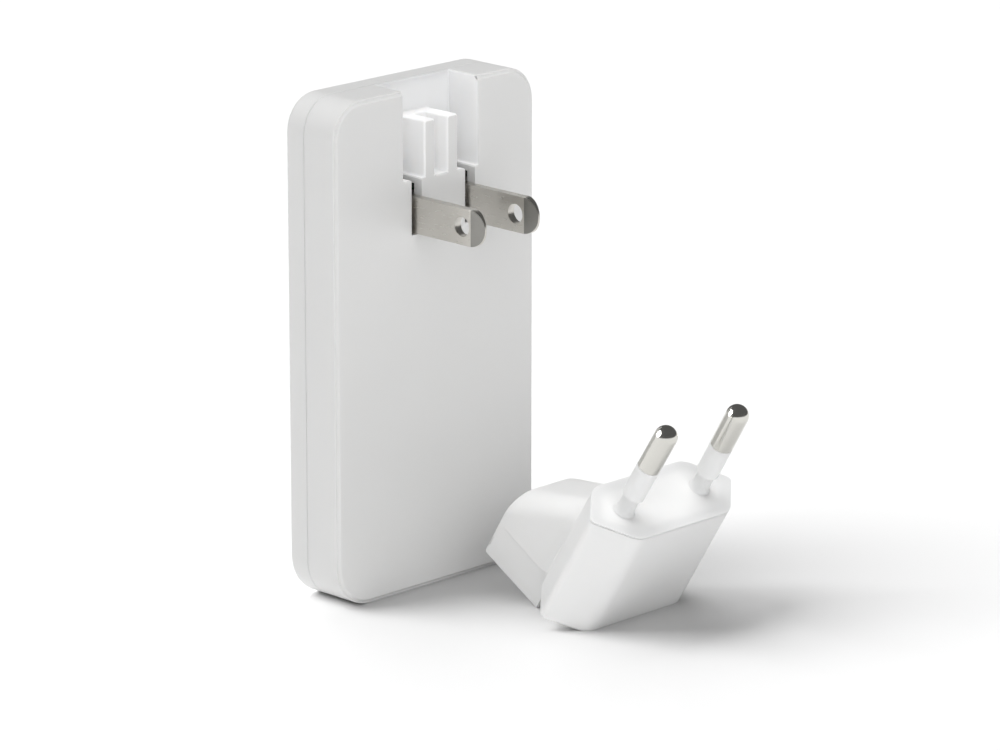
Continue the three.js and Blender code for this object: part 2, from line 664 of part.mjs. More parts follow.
function pinPlate() {
  const rim = prism(headOutline(0), -PLATE_RIM, 0);
  const step = prism(headOutline(HEAD_WALL + GAP), -PLATE_RIM - PLATE_STEP, -PLATE_RIM / 2);
  const holes = [-1, 1].map((side) => {
    return rod('z', SLEEVE_NECK_RADIUS + 2 * GAP, 4 * PLATE_STEP,
      (side * PIN_SPACING_BASE) / 2, 0, -2 * PLATE_STEP, 3 * SEGMENTS);
  });
  return cut(join(rim, step), ...holes);
}

// metal pin about its own axis: domed tip, bare end, then a thinner core inside the sleeve
function pinSolid() {
  const points = [[0, -PIN_ROOT], [PIN_CORE_RADIUS, -PIN_ROOT]];
  const shoulder = PIN_LENGTH - PIN_METAL_LENGTH;
  points.push([PIN_CORE_RADIUS, shoulder], [PIN_RADIUS, shoulder]);
  for (let step = 0; step <= SEGMENTS; step += 1) {
    const angle = (step / SEGMENTS) * (Math.PI / 2);
    points.push([
      step === SEGMENTS ? 0 : PIN_RADIUS * Math.cos(angle),
      PIN_LENGTH - PIN_RADIUS + PIN_RADIUS * Math.sin(angle),
    ]);
  }
  return turned(points);
}

// insulating sleeve: a flared foot, a neck, then the full-diameter tube with a rim
function sleeveSolid() {
  const top = PIN_LENGTH - PIN_METAL_LENGTH - GAP;
  const tube = turned([
    [0, -SLEEVE_ROOT], [SLEEVE_NECK_RADIUS, -SLEEVE_ROOT], [SLEEVE_NECK_RADIUS, SLEEVE_RIM],
    [PIN_RADIUS, SLEEVE_RIM + SLEEVE_RIM_SLOPE], [PIN_RADIUS, top], [0, top],
  ]);
  return cut(tube, rod('z', PIN_CORE_RADIUS + GAP, 2 * PIN_LENGTH, 0, 0, -PIN_LENGTH, 3 * SEGMENTS));
}

// two leaves that grip a charger blade, joined by a bridge
function socketContact(side) {
  const middle = BLADE_CENTRE - NOTCH_CENTRE + (side * BLADE_SPACING) / 2;
  const leafGap = BLADE_THICKNESS / 2 + GAP;
  const low = -HEAD_LENGTH + HEAD_WALL + GAP;
  const bridge = -HEAD_LENGTH + BLADE_REACH + 2 * GAP;
  const leaves = [-1, 1].map((face) => {
    const near = middle + face * leafGap;
    const far = near + face * CONTACT_LEAF;
    return box(Math.min(near, far), Math.max(near, far),
      -CONTACT_HALF_WIDTH, CONTACT_HALF_WIDTH, low, bridge + CONTACT_LEAF);
  });
  const cap = box(middle - leafGap - CONTACT_LEAF, middle + leafGap + CONTACT_LEAF,
    -CONTACT_HALF_WIDTH, CONTACT_HALF_WIDTH, bridge, bridge + CONTACT_LEAF);
  return join(cap, ...leaves);
}

// ---------------------------------------------------------------- assembly
const adapter = new THREE.Group();

const charger = new THREE.Group();
adapter.add(charger);
piece(charger, 'rear_shell', rearShell(), 'whitePlastic');
piece(charger, 'front_shell', frontShell(), 'whitePlastic');
piece(charger, 'main_board', mainBoard(), 'board');
piece(charger, 'transformer_core', transformerCore(), 'ferrite');
piece(charger, 'transformer_winding', transformerWinding(), 'tape');
piece(charger, 'choke_core', chokeCore(), 'ferrite');
piece(charger, 'choke_winding', chokeWinding(), 'brass');
bulkCapacitors.forEach((x, index) => {
  const can = lyingCan(x, BULK_CAN.z, BULK_CAN.diameter, BULK_CAN.length);
  piece(charger, `bulk_capacitor_${index + 1}`, can, 'capSleeve');
});
outputCapacitors.forEach((x, index) => {
  const can = lyingCan(x, OUTPUT_CAN.z, OUTPUT_CAN.diameter, OUTPUT_CAN.length);
  piece(charger, `output_capacitor_${index + 1}`, can, 'capSleeve');
});
boardBlocks.forEach(({ name, x, z, sizeX, sizeZ, height, finish }) => {
  piece(charger, name, onBoard(x, z, sizeX, sizeZ, height), finish);
});
piece(charger, 'fuse', fuse(), 'ceramic');
piece(charger, 'heat_spreader', heatSpreader(), 'spreader');
piece(charger, 'insulating_sheet', insulatingSheet(), 'insulator');
piece(charger, 'usb_c_shell', usbShell(), 'steel');
piece(charger, 'usb_c_tongue', usbTongue(), 'component');
piece(charger, 'hinge_bearing_left', bearing(-1), 'innerPlastic');
piece(charger, 'hinge_bearing_right', bearing(1), 'innerPlastic');
piece(charger, 'contact_spring_left', contactSpring(-1), 'springBronze');
piece(charger, 'contact_spring_right', contactSpring(1), 'springBronze');
piece(charger, 'detent_spring', detentSpring(), 'steel');

const foldingPlug = new THREE.Group();
adapter.add(foldingPlug);
piece(foldingPlug, 'blade_left', blade(-1), 'nickel');
piece(foldingPlug, 'blade_right', blade(1), 'nickel');
piece(foldingPlug, 'blade_rotor', bladeRotor(), 'innerPlastic');

// the head leans so that its rounded foot edge and its tongue's edge both touch z = 0
const leanRise = TONGUE_TIP - HEAD_LENGTH + HEAD_FOOT_ROUND;
const leanRun = 2 * HEAD_HALF_DEEP - HEAD_FOOT_ROUND;
const leanReach = Math.hypot(leanRise, leanRun);
const headLean = Math.acos(HEAD_FOOT_ROUND / leanReach) - Math.atan2(leanRun, leanRise);
const headHeight = TONGUE_TIP * Math.cos(headLean) - HEAD_HALF_DEEP * Math.sin(headLean);

const head = new THREE.Group();
head.rotation.set(headLean, 0, HEAD_YAW, 'ZYX');
head.position.set(HEAD_X, HEAD_Y, headHeight);
adapter.add(head);
piece(head, 'eu_head_shell', headShell(), 'whitePlastic');
piece(head, 'eu_pin_plate', pinPlate(), 'whitePlastic');

[['left', -1], ['right', 1]].forEach(([label, side]) => {
  const pinGroup = new THREE.Group();
  pinGroup.position.x = (side * PIN_SPACING_BASE) / 2;
  pinGroup.rotation.y = -side * PIN_LEAN;
  head.add(pinGroup);
  piece(pinGroup, `eu_pin_${label}`, pinSolid(), 'nickel');
  piece(pinGroup, `eu_sleeve_${label}`, sleeveSolid(), 'whitePlastic');
  piece(head, `eu_contact_${label}`, socketContact(side), 'brass');
});

export default adapter;
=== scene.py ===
import json
import math
import bmesh
import bpy
from mathutils import Matrix, Vector

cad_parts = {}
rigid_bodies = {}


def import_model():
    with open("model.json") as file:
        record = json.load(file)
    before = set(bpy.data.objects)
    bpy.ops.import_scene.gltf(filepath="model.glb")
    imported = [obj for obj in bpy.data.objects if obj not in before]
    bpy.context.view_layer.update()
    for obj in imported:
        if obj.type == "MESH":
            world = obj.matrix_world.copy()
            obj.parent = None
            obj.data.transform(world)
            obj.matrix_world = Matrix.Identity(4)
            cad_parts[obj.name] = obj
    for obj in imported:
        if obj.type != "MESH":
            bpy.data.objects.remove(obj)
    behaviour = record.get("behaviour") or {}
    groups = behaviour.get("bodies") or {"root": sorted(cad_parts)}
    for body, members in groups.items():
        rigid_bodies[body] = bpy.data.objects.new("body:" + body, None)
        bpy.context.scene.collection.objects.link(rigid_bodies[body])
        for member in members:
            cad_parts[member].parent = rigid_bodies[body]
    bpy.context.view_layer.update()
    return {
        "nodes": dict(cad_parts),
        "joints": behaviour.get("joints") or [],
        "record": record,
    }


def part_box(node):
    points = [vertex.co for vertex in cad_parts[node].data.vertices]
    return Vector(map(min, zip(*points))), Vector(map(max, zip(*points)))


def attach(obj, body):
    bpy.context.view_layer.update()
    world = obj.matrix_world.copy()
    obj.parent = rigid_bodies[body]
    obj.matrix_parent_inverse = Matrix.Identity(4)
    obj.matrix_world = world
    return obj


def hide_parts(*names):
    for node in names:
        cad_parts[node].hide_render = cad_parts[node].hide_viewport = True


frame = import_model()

MM = 0.001
SCENE = bpy.context.scene

# ------------------------------------------------------------------ sizes, in millimetres
REAR_LOW, REAR_HIGH = (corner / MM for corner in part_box("rear_shell"))
FRONT_LOW, FRONT_HIGH = (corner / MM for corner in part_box("front_shell"))
HALF_WIDTH = REAR_HIGH.x
HEIGHT = REAR_HIGH.z
FACE = REAR_LOW.y  # the plane that the blades come out of
BACK = FRONT_HIGH.y
SEAM = (REAR_HIGH.y + FRONT_LOW.y) / 2
SEAM_HALF_GAP = 0.03
WALL = 1.6
FACE_WALL = 1.85
TOP_RADIUS = 6.3
BOTTOM_RADIUS = 7.8
EDGE_STEP = 0.4  # the blade face stands this far inside the casing's outline
EDGE_STEP_ROUND = 0.06
FACE_CHAMFER = 0.34
SEAM_CHAMFER = 0.1
FRONT_ROUND = 1.0
ARC_STEPS = 20
MERGE_DISTANCE = 0.0005

NOTCH_CENTRE = 1.25
NOTCH_HALF = 8.9
NOTCH_DEPTH = 7.16
NOTCH_FLOOR = 72.57
NOTCH_WALL = 1.2
NOTCH_BACK_WALL = 0.85
NOTCH_ROUND = 0.3
KEY_ROUND = 0.4
KEY_HALF = 3.95
KEY_TOP = 82.4
GROOVE_HALF = 1.45
GROOVE_DEPTH = 5.2

HINGE = Vector(next(j for j in frame["joints"] if j["name"] == "blade_hinge")["pos_m"]) / MM
BLADE_HEIGHT = 6.35
BLADE_THICKNESS = 1.5
BLADE_HOLE_REACH = 11.4
BLADE_HOLE_RADIUS = 1.7
BLADE_BEVEL_LENGTH = 2.9
BLADE_BEVEL_DEPTH = 0.55
BLADE_EDGE_ROUND = 0.06
BLADE_EYE_RADIUS = 2.0
FIT_GAP = 0.3
SLOT_HALF = 1.2
SLOT_SHIFT = -0.15

USB_LOW, USB_HIGH = (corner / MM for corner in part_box("usb_c_shell"))
USB_CENTRE = (USB_LOW + USB_HIGH) / 2
USB_WALL = 0.3
USB_CLEARANCE = 0.12
USB_TONGUE_HALF_WIDTH = 3.3
USB_TONGUE_HALF_DEPTH = 0.35
USB_TONGUE_ROUND = 0.08
USB_TONGUE_ROOT = 1.4
USB_CONTACTS = 12
USB_CONTACT_PITCH = 0.5
USB_CONTACT_WIDTH = 0.24
USB_CONTACT_DEPTH = 0.04
USB_CONTACT_PROUD = 0.012
USB_LONG_CONTACTS = (0, 3, 8, 11)
USB_LONG_START = 0.35
USB_SHORT_START = 0.75

# the head's own axes: x along the pin spacing, y towards the hood, z out along the pins
PLUG_FACE = next(m for m in frame["record"]["mounts"] if m["name"] == "europlug_face")
PIN_DIRECTION = Vector(PLUG_FACE["axis"])
HEAD_YAW = math.atan2(PIN_DIRECTION.x, -PIN_DIRECTION.y)
HEAD_LEAN = math.acos(PIN_DIRECTION.z)
HEAD_PLACE = (
    Matrix.Translation(Vector(PLUG_FACE["pos_m"]) / MM)
    @ Matrix.Rotation(HEAD_YAW, 4, "Z")
    @ Matrix.Rotation(HEAD_LEAN, 4, "X")
)
HEAD_TIP = 17.5
HEAD_TIP_INSET = 6.3
HEAD_DEEP = 6.5
HEAD_LENGTH = 22.9
HEAD_WALL = 1.5
FOOT_ROUND = 0.8
BLUNT_RADIUS = 4.2
TIP_RADIUS = 1.0
TONGUE_HALF = 8.75
TONGUE_REACH = 21.1
TONGUE_TIP = 29.7
HOOD_FAR_TOP = 16.0
HOOD_NEAR_TOP = 5.5
HOOD_ROUND = 5.0
HOOD_END_ROUND = 0.8
HOOD_FLANK_FLARE = 0.35
HOOD_SHOULDER_INSET = 0.9
HOOD_LOW_ROUND = 0.25
HOOD_OVERLAP = 1.4  # the hood and the tongue start this far inside the block and the hood
TONGUE_OVERLAP = 1.0
TONGUE_END = ((0.8, 0.0), (0.5, 0.06), (0.2, 0.27), (0.05, 0.55), (0.0, 0.8))  # back, inset
FLARE_LENGTH = 3.6
FLARE_WIDTH = 2.3
FLARE_LIFT = 2.2
FLARE_RISE = 0.7
POCKET_HALF = 4.3
POCKET_REACH = 16.4
SLIT_Y = (20.5, 20.72)
SLIT_Z = (-27.9, -25.8)
SLIT_DEPTH = 0.4
PLATE_RIM = 0.25
PLATE_GAP = 0.15
PLATE_STEP = 1.9
PIN_BASE = 18.6
PIN_TIP_SPACING = 17.5
PIN_LENGTH = 19.0
PIN_RADIUS = 2.0
PIN_METAL = 9.0
PIN_ROOT = 2.9
PIN_CORE_RADIUS = 1.35
PIN_EDGE_ROUND = 0.08
SLEEVE_BORE_RADIUS = 1.4
SLEEVE_ROOT = 1.2
SLEEVE_GAP = 0.02
NECK_RADIUS = 1.55
SLEEVE_FOOT_HEIGHT = 1.2
SLEEVE_FOOT_FLARE = 0.45
SLEEVE_RIM = 3.7
SLEEVE_RIM_SLOPE = 0.06


# ------------------------------------------------------------------ mesh helpers
def arc_outline(corners, steps=ARC_STEPS):
    """A closed outline from (x, y, radius) corners listed anticlockwise."""
    points = []
    for index, (x, y, radius) in enumerate(corners):
        before = corners[index - 1]
        after = corners[(index + 1) % len(corners)]
        here = Vector((x, y))
        to_before = (Vector(before[:2]) - here).normalized()
        to_after = (Vector(after[:2]) - here).normalized()
        half = to_before.angle(to_after) / 2
        start = here + to_before * (radius / math.tan(half))
        centre = here + (to_before + to_after).normalized() * (radius / math.sin(half))
        first = math.atan2(start.y - centre.y, start.x - centre.x)
        turn = math.pi - 2 * half
        for step in range(steps + 1):
            angle = first + turn * step / steps
            points.append((centre.x + radius * math.cos(angle), centre.y + radius * math.sin(angle)))
    return points


def new_object(name, bm):
    mesh = bpy.data.meshes.new(name)
    bmesh.ops.recalc_face_normals(bm, faces=bm.faces)
    bm.to_mesh(mesh)
    bm.free()
    obj = bpy.data.objects.new(name, mesh)
    SCENE.collection.objects.link(obj)
    return obj


def loft(name, layers):
    """Skins closed outlines that have the same number of points; caps the first and last."""
    bm = bmesh.new()
    rings = [[bm.verts.new(point) for point in layer] for layer in layers]
    count = len(rings[0])
    for low, high in zip(rings, rings[1:]):
        for index in range(count):
            after = (index + 1) % count
            bm.faces.new((low[index], low[after], high[after], high[index]))
    bm.faces.new(rings[0])
    bm.faces.new(rings[-1])
    return new_object(name, bm)


def block(x0, x1, y0, y1, z0, z1):
    base = [(x0, y0), (x1, y0), (x1, y1), (x0, y1)]
    return loft("block", [[(x, y, z) for x, y in base] for z in (z0, z1)])


def spin(name, profile, sides=64):
    """A turned solid about z from (radius, z) points that start and end on the axis."""
    bm = bmesh.new()
    rings = []
    for radius, z in profile:
        if radius == 0:
            rings.append([bm.verts.new((0, 0, z))])
            continue
        turns = [2 * math.pi * side / sides for side in range(sides)]
        rings.append([bm.verts.new((radius * math.cos(t), radius * math.sin(t), z)) for t in turns])
    for low, high in zip(rings, rings[1:]):
        for side in range(sides):
            after = (side + 1) % sides
            if len(low) == 1:
                bm.faces.new((low[0], high[after], high[side]))
            elif len(high) == 1:
                bm.faces.new((low[side], low[after], high[0]))
            else:
                bm.faces.new((low[side], low[after], high[after], high[side]))
    return new_object(name, bm)


def bake(obj):
    """Applies an object's modifiers to its mesh."""
    depsgraph = bpy.context.evaluated_depsgraph_get()
    mesh = bpy.data.meshes.new_from_object(obj.evaluated_get(depsgraph))
    obj.modifiers.clear()
    old = obj.data
    obj.data = mesh
    bpy.data.meshes.remove(old)
    return obj


def combine(obj, operation, *tools):
    """Joins, cuts or intersects an object with tools, which are used up."""
    for tool in tools:
        modifier = obj.modifiers.new("combine", "BOOLEAN")
        modifier.operation = operation
        modifier.solver = "EXACT"
        modifier.object = tool
        bake(obj)
        bpy.data.objects.remove(tool)
    return obj


def cut(obj, *tools):
    return combine(obj, "DIFFERENCE", *tools)


def join(obj, *tools):
    return combine(obj, "UNION", *tools)


def tidy(obj, angle=0.5):
    """Merges doubled points and removes edges between faces that lie in one plane."""
    bm = bmesh.new()
    bm.from_mesh(obj.data)
    bmesh.ops.remove_doubles(bm, verts=bm.verts, dist=MERGE_DISTANCE)
    bmesh.ops.dissolve_limit(bm, angle_limit=math.radians(angle), verts=bm.verts, edges=bm.edges)
    bm.to_mesh(obj.data)
    bm.free()
    return obj


def round_edges(obj, width_of, segments=4, sharp=28):
    """Rounds each sharp edge by the width that width_of gives for its middle point."""
    bm = bmesh.new()
    bm.from_mesh(obj.data)
    widths = []
    for edge in bm.edges:
        width = 0
        if len(edge.link_faces) == 2 and edge.calc_face_angle(0) > math.radians(sharp):
            width = width_of((edge.verts[0].co + edge.verts[1].co) / 2)
        widths.append(width)
    bm.free()
    widest = max(widths)
    weights = obj.data.attributes.new("bevel_weight_edge", "FLOAT", "EDGE")
    for index, width in enumerate(widths):
        weights.data[index].value = width / widest
    modifier = obj.modifiers.new("round", "BEVEL")
    modifier.limit_method = "WEIGHT"
    modifier.width = widest
    modifier.segments = segments
    modifier.use_clamp_overlap = False
    modifier.miter_outer = "MITER_ARC"
    bake(obj)
    left = obj.data.attributes.get("bevel_weight_edge")
    if left:
        obj.data.attributes.remove(left)
    return obj


def settle(obj, matrix=Matrix.Identity(4), angle=32):
    """Places a finished mesh in metres and shades it smooth, apart from its sharp edges."""
    obj.data.transform(Matrix.Scale(MM, 4) @ matrix)
    for polygon in obj.data.polygons:
        polygon.use_smooth = True
    obj.data.set_sharp_from_angle(angle=math.radians(angle))
    modifier = obj.modifiers.new("weighted", "WEIGHTED_NORMAL")
    modifier.keep_sharp = True
    bake(obj)
    return obj


def publish(obj, name, body, slot, material, *nodes):
    """Names a finished piece and says which body, finish and CAD nodes it belongs to."""
    obj.name = name
    obj.data.name = name
    if not obj.data.materials:
        obj.data.materials.append(material)
    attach(obj, body)
    if nodes:
        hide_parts(*nodes)
    return obj


# ------------------------------------------------------------------ materials
def material_base(name):
    material = bpy.data.materials.new(name)
    material.use_nodes = True
    nodes = material.node_tree.nodes
    return material, nodes, material.node_tree.links, nodes["Principled BSDF"]


def noise(nodes, links, scale, detail=3.0):
    coordinates = nodes.new("ShaderNodeTexCoord")
    texture = nodes.new("ShaderNodeTexNoise")
    texture.inputs["Scale"].default_value = scale
    texture.inputs["Detail"].default_value = detail
    texture.inputs["Roughness"].default_value = 0.5
    links.new(coordinates.outputs["Object"], texture.inputs["Vector"])
    return texture


def ramp(nodes, links, source, low, high, start=0.3, end=0.7):
    node = nodes.new("ShaderNodeMapRange")
    node.inputs["From Min"].default_value = start
    node.inputs["From Max"].default_value = end
    node.inputs["To Min"].default_value = low
    node.inputs["To Max"].default_value = high
    links.new(source, node.inputs["Value"])
    return node.outputs["Result"]


def bump(nodes, links, source, strength, distance, shader):
    node = nodes.new("ShaderNodeBump")
    node.inputs["Strength"].default_value = strength
    node.inputs["Distance"].default_value = distance
    links.new(source, node.inputs["Height"])
    links.new(node.outputs["Normal"], shader.inputs["Normal"])


def tint(nodes, links, source, dark, light, shader):
    node = nodes.new("ShaderNodeMix")
    node.data_type = "RGBA"
    node.inputs["A"].default_value = (*dark, 1)
    node.inputs["B"].default_value = (*light, 1)
    links.new(source, node.inputs["Factor"])
    links.new(node.outputs["Result"], shader.inputs["Base Color"])


def plastic(name, dark, light, gloss, grain=0.12, grain_scale=9000.0, scatter=0.25):
    """Moulded plastic: a faint spark-eroded grain and slow changes in gloss and tone."""
    material, nodes, links, shader = material_base(name)
    slow = noise(nodes, links, 60.0)
    tint(nodes, links, slow.outputs["Fac"], dark, light, shader)
    sheen = ramp(nodes, links, slow.outputs["Fac"], gloss - 0.03, gloss + 0.03)
    links.new(sheen, shader.inputs["Roughness"])
    fine = noise(nodes, links, grain_scale, 2.0)
    bump(nodes, links, fine.outputs["Fac"], grain, 0.00002, shader)
    shader.inputs["Subsurface Weight"].default_value = scatter
    shader.inputs["Subsurface Radius"].default_value = (1.0, 0.95, 0.9)
    shader.inputs["Subsurface Scale"].default_value = 0.002
    return material


def metal(name, dark, light, gloss, stretch=(1.0, 1.0, 1.0), grain=0.08):
    """Plated or rolled metal: fine drawn lines and a patchy sheen."""
    material, nodes, links, shader = material_base(name)
    coordinates = nodes.new("ShaderNodeTexCoord")
    mapping = nodes.new("ShaderNodeMapping")
    mapping.inputs["Scale"].default_value = stretch
    texture = nodes.new("ShaderNodeTexNoise")
    texture.inputs["Scale"].default_value = 4000.0
    texture.inputs["Detail"].default_value = 3.0
    links.new(coordinates.outputs["Object"], mapping.inputs["Vector"])
    links.new(mapping.outputs["Vector"], texture.inputs["Vector"])
    slow = noise(nodes, links, 150.0)
    tint(nodes, links, slow.outputs["Fac"], dark, light, shader)
    sheen = ramp(nodes, links, texture.outputs["Fac"], gloss - 0.04, gloss + 0.05)
    links.new(sheen, shader.inputs["Roughness"])
    bump(nodes, links, texture.outputs["Fac"], grain, 0.00001, shader)
    shader.inputs["Metallic"].default_value = 1.0
    return material


WHITE = plastic("white_plastic", (0.73, 0.73, 0.725), (0.75, 0.75, 0.745), 0.36)
# a lighter copy of the white plastic: painted glow for the notch walls, standing in for light shining
# through them
NOTCH_PAINTED_GLOW = plastic("white_plastic_painted_glow", (0.93, 0.93, 0.93), (0.95, 0.95, 0.95), 0.4, scatter=0.5)
HEAD_WHITE = plastic("white_plastic_head", (0.86, 0.86, 0.855), (0.88, 0.88, 0.875), 0.4)
SLEEVE_WHITE = plastic("sleeve_plastic", (0.87, 0.87, 0.865), (0.89, 0.89, 0.885), 0.3, 0.06)
INNER = plastic("inner_plastic", (0.76, 0.75, 0.71), (0.80, 0.79, 0.75), 0.5, 0.3, 3000.0, 0.0)
NICKEL_BLADE = metal("nickel_blade", (0.60, 0.58, 0.54), (0.66, 0.64, 0.60), 0.30, (1.0, 0.08, 1.0))
# the ground bevels' nickel: rougher as ground metal is, and darker as a painted reflection of darker
# surroundings
NICKEL_GROUND_PAINTED_REFLECTION = metal("nickel_ground_painted_reflection", (0.24, 0.235, 0.22), (0.28, 0.275, 0.26),
                      0.36, (1.0, 0.08, 1.0))
NICKEL_PIN = metal("nickel_pin", (0.66, 0.65, 0.61), (0.70, 0.69, 0.65),
                   0.14, (1.0, 1.0, 0.2), 0.03)
SOCKET_STEEL = metal("socket_steel", (0.52, 0.53, 0.54), (0.60, 0.61, 0.62), 0.28, (1.0, 1.0, 0.1))
BRONZE = metal("contact_bronze", (0.55, 0.33, 0.16), (0.68, 0.44, 0.24), 0.34, (1.0, 1.0, 0.1))
BRASS = metal("contact_brass", (0.68, 0.52, 0.24), (0.78, 0.62, 0.32), 0.30, (1.0, 1.0, 0.1))
GOLD = metal("contact_gold", (0.86, 0.62, 0.26), (0.92, 0.70, 0.34), 0.22)
ALUMINIUM = metal("spreader_aluminium", (0.74, 0.75, 0.76), (0.82, 0.83, 0.84),
                  0.36, (0.05, 1.0, 1.0), 0.2)
FERRITE = plastic("ferrite", (0.035, 0.035, 0.038), (0.065, 0.065, 0.07), 0.72, 0.6, 2500.0, 0.0)
SLEEVE_DARK = plastic("capacitor_sleeve", (0.018, 0.022, 0.03), (0.03, 0.036, 0.048),
                      0.28, 0.2, 1200.0, 0.0)
PALE_CASE = plastic("film_capacitor", (0.66, 0.64, 0.55), (0.74, 0.72, 0.64),
                    0.46, 0.4, 2500.0, 0.0)
CHIP = plastic("chip_plastic", (0.018, 0.018, 0.019), (0.032, 0.032, 0.034),
               0.52, 0.5, 5000.0, 0.0)
FILM = plastic("insulating_film", (0.72, 0.64, 0.46), (0.80, 0.73, 0.56), 0.32, 0.15, 800.0, 0.1)


def banded(name, dark, light, gloss, scale, direction, depth, metallic=0.0):
    """Wound tape or wire: fine parallel bands with a bump to match."""
    material, nodes, links, shader = material_base(name)
    coordinates = nodes.new("ShaderNodeTexCoord")
    wave = nodes.new("ShaderNodeTexWave")
    wave.bands_direction = direction
    wave.inputs["Scale"].default_value = scale
    wave.inputs["Distortion"].default_value = 0.6
    wave.inputs["Detail"].default_value = 2.0
    links.new(coordinates.outputs["Object"], wave.inputs["Vector"])
    tint(nodes, links, wave.outputs["Fac"], dark, light, shader)
    bump(nodes, links, wave.outputs["Fac"], 0.6, depth, shader)
    shader.inputs["Roughness"].default_value = gloss
    shader.inputs["Metallic"].default_value = metallic
    return material


def circuit_board(name):
    """Green solder mask with copper tracks showing faintly under it."""
    material, nodes, links, shader = material_base(name)
    coordinates = nodes.new("ShaderNodeTexCoord")
    tracks = nodes.new("ShaderNodeTexVoronoi")
    tracks.feature = "DISTANCE_TO_EDGE"
    tracks.distance = "CHEBYCHEV"
    tracks.inputs["Scale"].default_value = 260.0
    tracks.inputs["Randomness"].default_value = 0.8
    links.new(coordinates.outputs["Object"], tracks.inputs["Vector"])
    lines = ramp(nodes, links, tracks.outputs["Distance"], 1.0, 0.0, 0.02, 0.1)
    tint(nodes, links, lines, (0.01, 0.10, 0.045), (0.02, 0.22, 0.10), shader)
    bump(nodes, links, lines, 0.5, 0.00003, shader)
    shader.inputs["Roughness"].default_value = 0.32
    return material


TAPE = banded("winding_tape", (0.62, 0.44, 0.05), (0.80, 0.62, 0.12), 0.3, 420.0, "Y", 0.00004)
COPPER = banded("copper_wire", (0.40, 0.16, 0.06), (0.78, 0.42, 0.20), 0.3, 520.0, "X", 0.00012, 0.9)
BOARD = circuit_board("circuit_board")

CARRIED_OVER = {
    "main_board": BOARD,
    "transformer_core": FERRITE,
    "transformer_winding": TAPE,
    "choke_core": FERRITE,
    "choke_winding": COPPER,
    "bulk_capacitor_1": SLEEVE_DARK,
    "bulk_capacitor_2": SLEEVE_DARK,
    "bulk_capacitor_3": SLEEVE_DARK,
    "output_capacitor_1": SLEEVE_DARK,
    "output_capacitor_2": SLEEVE_DARK,
    "x_capacitor": PALE_CASE,
    "bridge_rectifier": CHIP,
    "power_switch": CHIP,
    "output_rectifier": CHIP,
    "port_controller": CHIP,
    "fuse": PALE_CASE,
    "heat_spreader": ALUMINIUM,
    "insulating_sheet": FILM,
    "hinge_bearing_left": INNER,
    "hinge_bearing_right": INNER,
    "contact_spring_left": BRONZE,
    "contact_spring_right": BRONZE,
    "detent_spring": SOCKET_STEEL,
    "blade_rotor": INNER,
    "eu_contact_left": BRASS,
    "eu_contact_right": BRASS,
}
for carried, finish in CARRIED_OVER.items():
    mesh = frame["nodes"][carried].data
    mesh.materials.clear()
    mesh.materials.append(finish)


# ------------------------------------------------------------------ charger casing
def body_outline(inset):
    """The casing's outline in x and z, this far inside its widest one."""
    half = HALF_WIDTH - inset
    low = BOTTOM_RADIUS - inset
    high = TOP_RADIUS - inset
    return arc_outline([
        (-half, inset, low),
        (half, inset, low),
        (half, HEIGHT - inset, high),
        (-half, HEIGHT - inset, high),
    ])


def body_layer(inset, y):
    return [(x, y, z) for x, z in body_outline(inset)]


def usb_outline(inset, steps):
    """The socket's outline in x and y, this far inside the shell's own."""
    half = (USB_HIGH.x - USB_LOW.x) / 2 - inset
    deep = (USB_HIGH.y - USB_LOW.y) / 2 - inset
    radius = deep - 0.01
    return arc_outline([
        (USB_CENTRE.x - half, USB_CENTRE.y - deep, radius),
        (USB_CENTRE.x + half, USB_CENTRE.y - deep, radius),
        (USB_CENTRE.x + half, USB_CENTRE.y + deep, radius),
        (USB_CENTRE.x - half, USB_CENTRE.y + deep, radius),
    ], steps)


def usb_tool():
    """Cuts the hole for the socket through the casing's bottom end."""
    outline = usb_outline(-USB_CLEARANCE, 10)
    return loft("usb", [[(x, y, z) for x, y in outline] for z in (-2, USB_HIGH.z + 1)])


